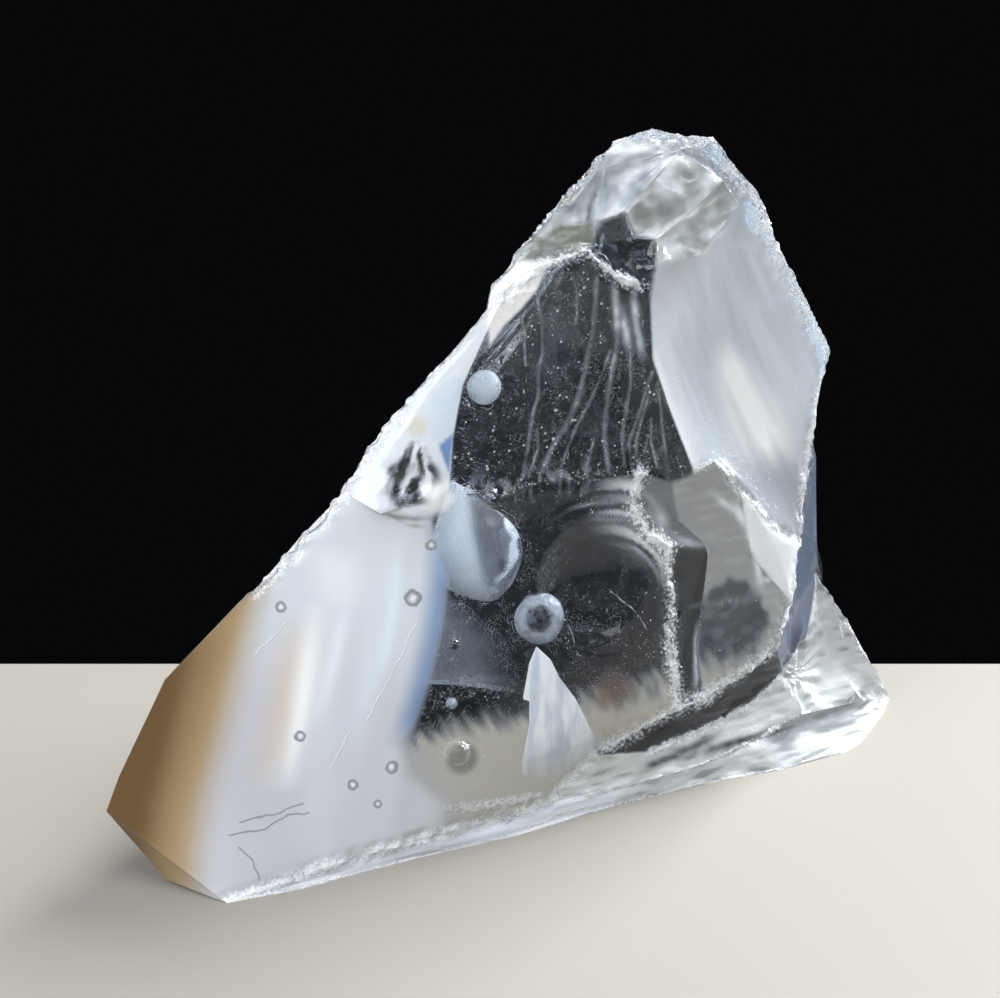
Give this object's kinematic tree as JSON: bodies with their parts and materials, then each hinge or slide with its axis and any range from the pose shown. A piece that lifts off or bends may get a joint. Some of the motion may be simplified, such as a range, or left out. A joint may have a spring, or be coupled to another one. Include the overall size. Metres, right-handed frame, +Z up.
{
  "type": "rough glass chunk",
  "caption": "Rough chunk of clear, partly milky glass with shell-shaped fracture faces, chipped ridges and bubbles, lying on one flat face.",
  "frame": {"origin": "under the middle of the bounding box, at the height of the flat resting face", "axes": "+X along the chunk's width, to the right as its large front face is looked at; the front face looks along -Y; +Z up"},
  "size_m": [0.058, 0.037, 0.0478],
  "materials": {
    "clear_glass": "broken glass: smooth fracture faces with frosted, chipped ridges, milky in places"
  },
  "bodies": {
    "root": {"glass_chunk": "clear_glass"}
  },
  "joints": []
}
